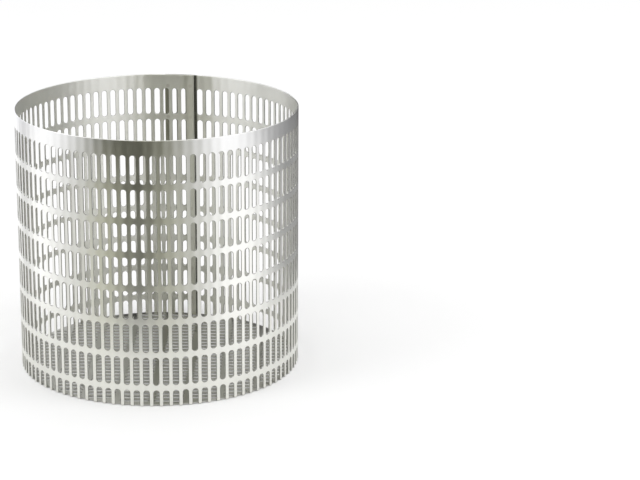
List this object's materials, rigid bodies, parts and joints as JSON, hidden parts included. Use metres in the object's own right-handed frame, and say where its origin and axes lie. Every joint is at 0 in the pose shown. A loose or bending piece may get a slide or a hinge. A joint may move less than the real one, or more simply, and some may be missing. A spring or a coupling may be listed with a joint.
{
  "type": "strainer basket",
  "caption": "Open-topped round strainer basket of slotted stainless sheet with a lapped seam, a plain rim and a slotted disc floor.",
  "frame": {"origin": "on the basket's axis, at the underside of the floor", "axes": "+Z along the axis, from the floor to the open rim; the lap seam of the wall is at +Y"},
  "size_m": [0.202, 0.202, 0.19],
  "materials": {
    "wall_sheet": "satin mill finish",
    "floor_sheet": "satin mill finish"
  },
  "bodies": {
    "root": {"slotted_wall": "wall_sheet", "slotted_floor": "floor_sheet"}
  },
  "joints": []
}
